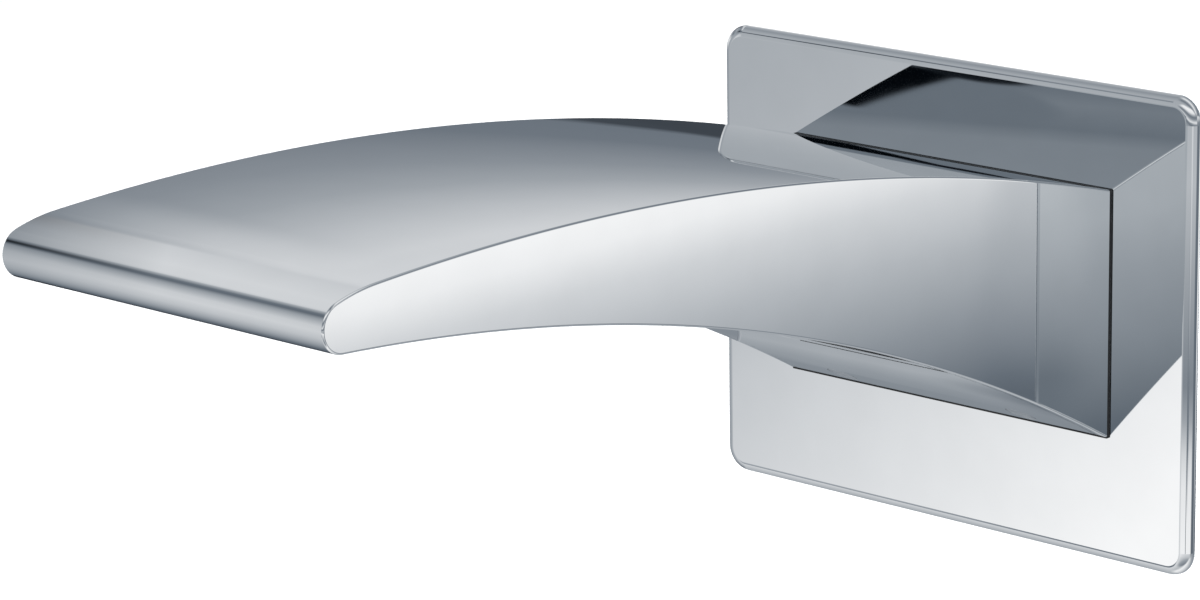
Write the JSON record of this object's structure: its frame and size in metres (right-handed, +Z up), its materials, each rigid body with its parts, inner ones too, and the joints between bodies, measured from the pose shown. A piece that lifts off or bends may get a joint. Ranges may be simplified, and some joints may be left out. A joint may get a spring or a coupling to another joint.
{
  "type": "waterfall bath spout",
  "caption": "Wall mounted waterfall bath spout in polished chrome: an arched rectangular body with a round lip, standing out of a thin wall plate with rounded corners.",
  "frame": {"origin": "on the inlet's axis where it passes the finished wall, at the end of the pipe thread", "axes": "+X along the wall to the right seen from the front, +Y into the wall along the inlet, +Z up; the spout reaches out towards -Y"},
  "size_m": [0.104, 0.2101, 0.0815],
  "materials": {
    "chromed_brass": "mirror chrome plate on polished brass",
    "chromed_steel": "mirror chrome plate on stainless sheet",
    "bare_brass": "turned and cast brass, bare",
    "stainless_steel": "stainless steel, plain",
    "spring_steel": "blackened spring steel",
    "zinc_steel": "zinc plated steel sheet",
    "black_rubber": "moulded black rubber",
    "clear_silicone": "milky silicone",
    "red_fibre": "pressed red fibre",
    "foam": "closed cell foam",
    "green_acetal": "moulded green plastic",
    "white_acetal": "moulded white plastic",
    "dark_acetal": "moulded dark grey plastic",
    "grey_nylon": "moulded grey nylon",
    "silver_plastic": "silvered plastic cap"
  },
  "bodies": {
    "root": {"spout_shell": "chromed_brass", "underside_plate": "chromed_brass", "wall_plate": "chromed_steel", "plate_gasket": "foam", "body_seal": "black_rubber", "inlet_block": "bare_brass", "inlet_nipple": "bare_brass", "thread_seal": "red_fibre", "nipple_o_rings": "black_rubber", "inlet_strainer": "stainless_steel", "flow_restrictor": "green_acetal", "strainer_clip": "spring_steel", "wall_bracket": "zinc_steel", "wall_screws": "stainless_steel", "screw_washers": "stainless_steel", "wall_plugs": "grey_nylon", "grub_screws": "spring_steel", "grub_caps": "silver_plastic", "chamber_baffle": "stainless_steel", "flow_guides": "white_acetal", "outlet_insert": "dark_acetal", "outlet_seal": "clear_silicone", "outlet_screen": "stainless_steel", "outlet_screws": "stainless_steel"}
  },
  "joints": []
}
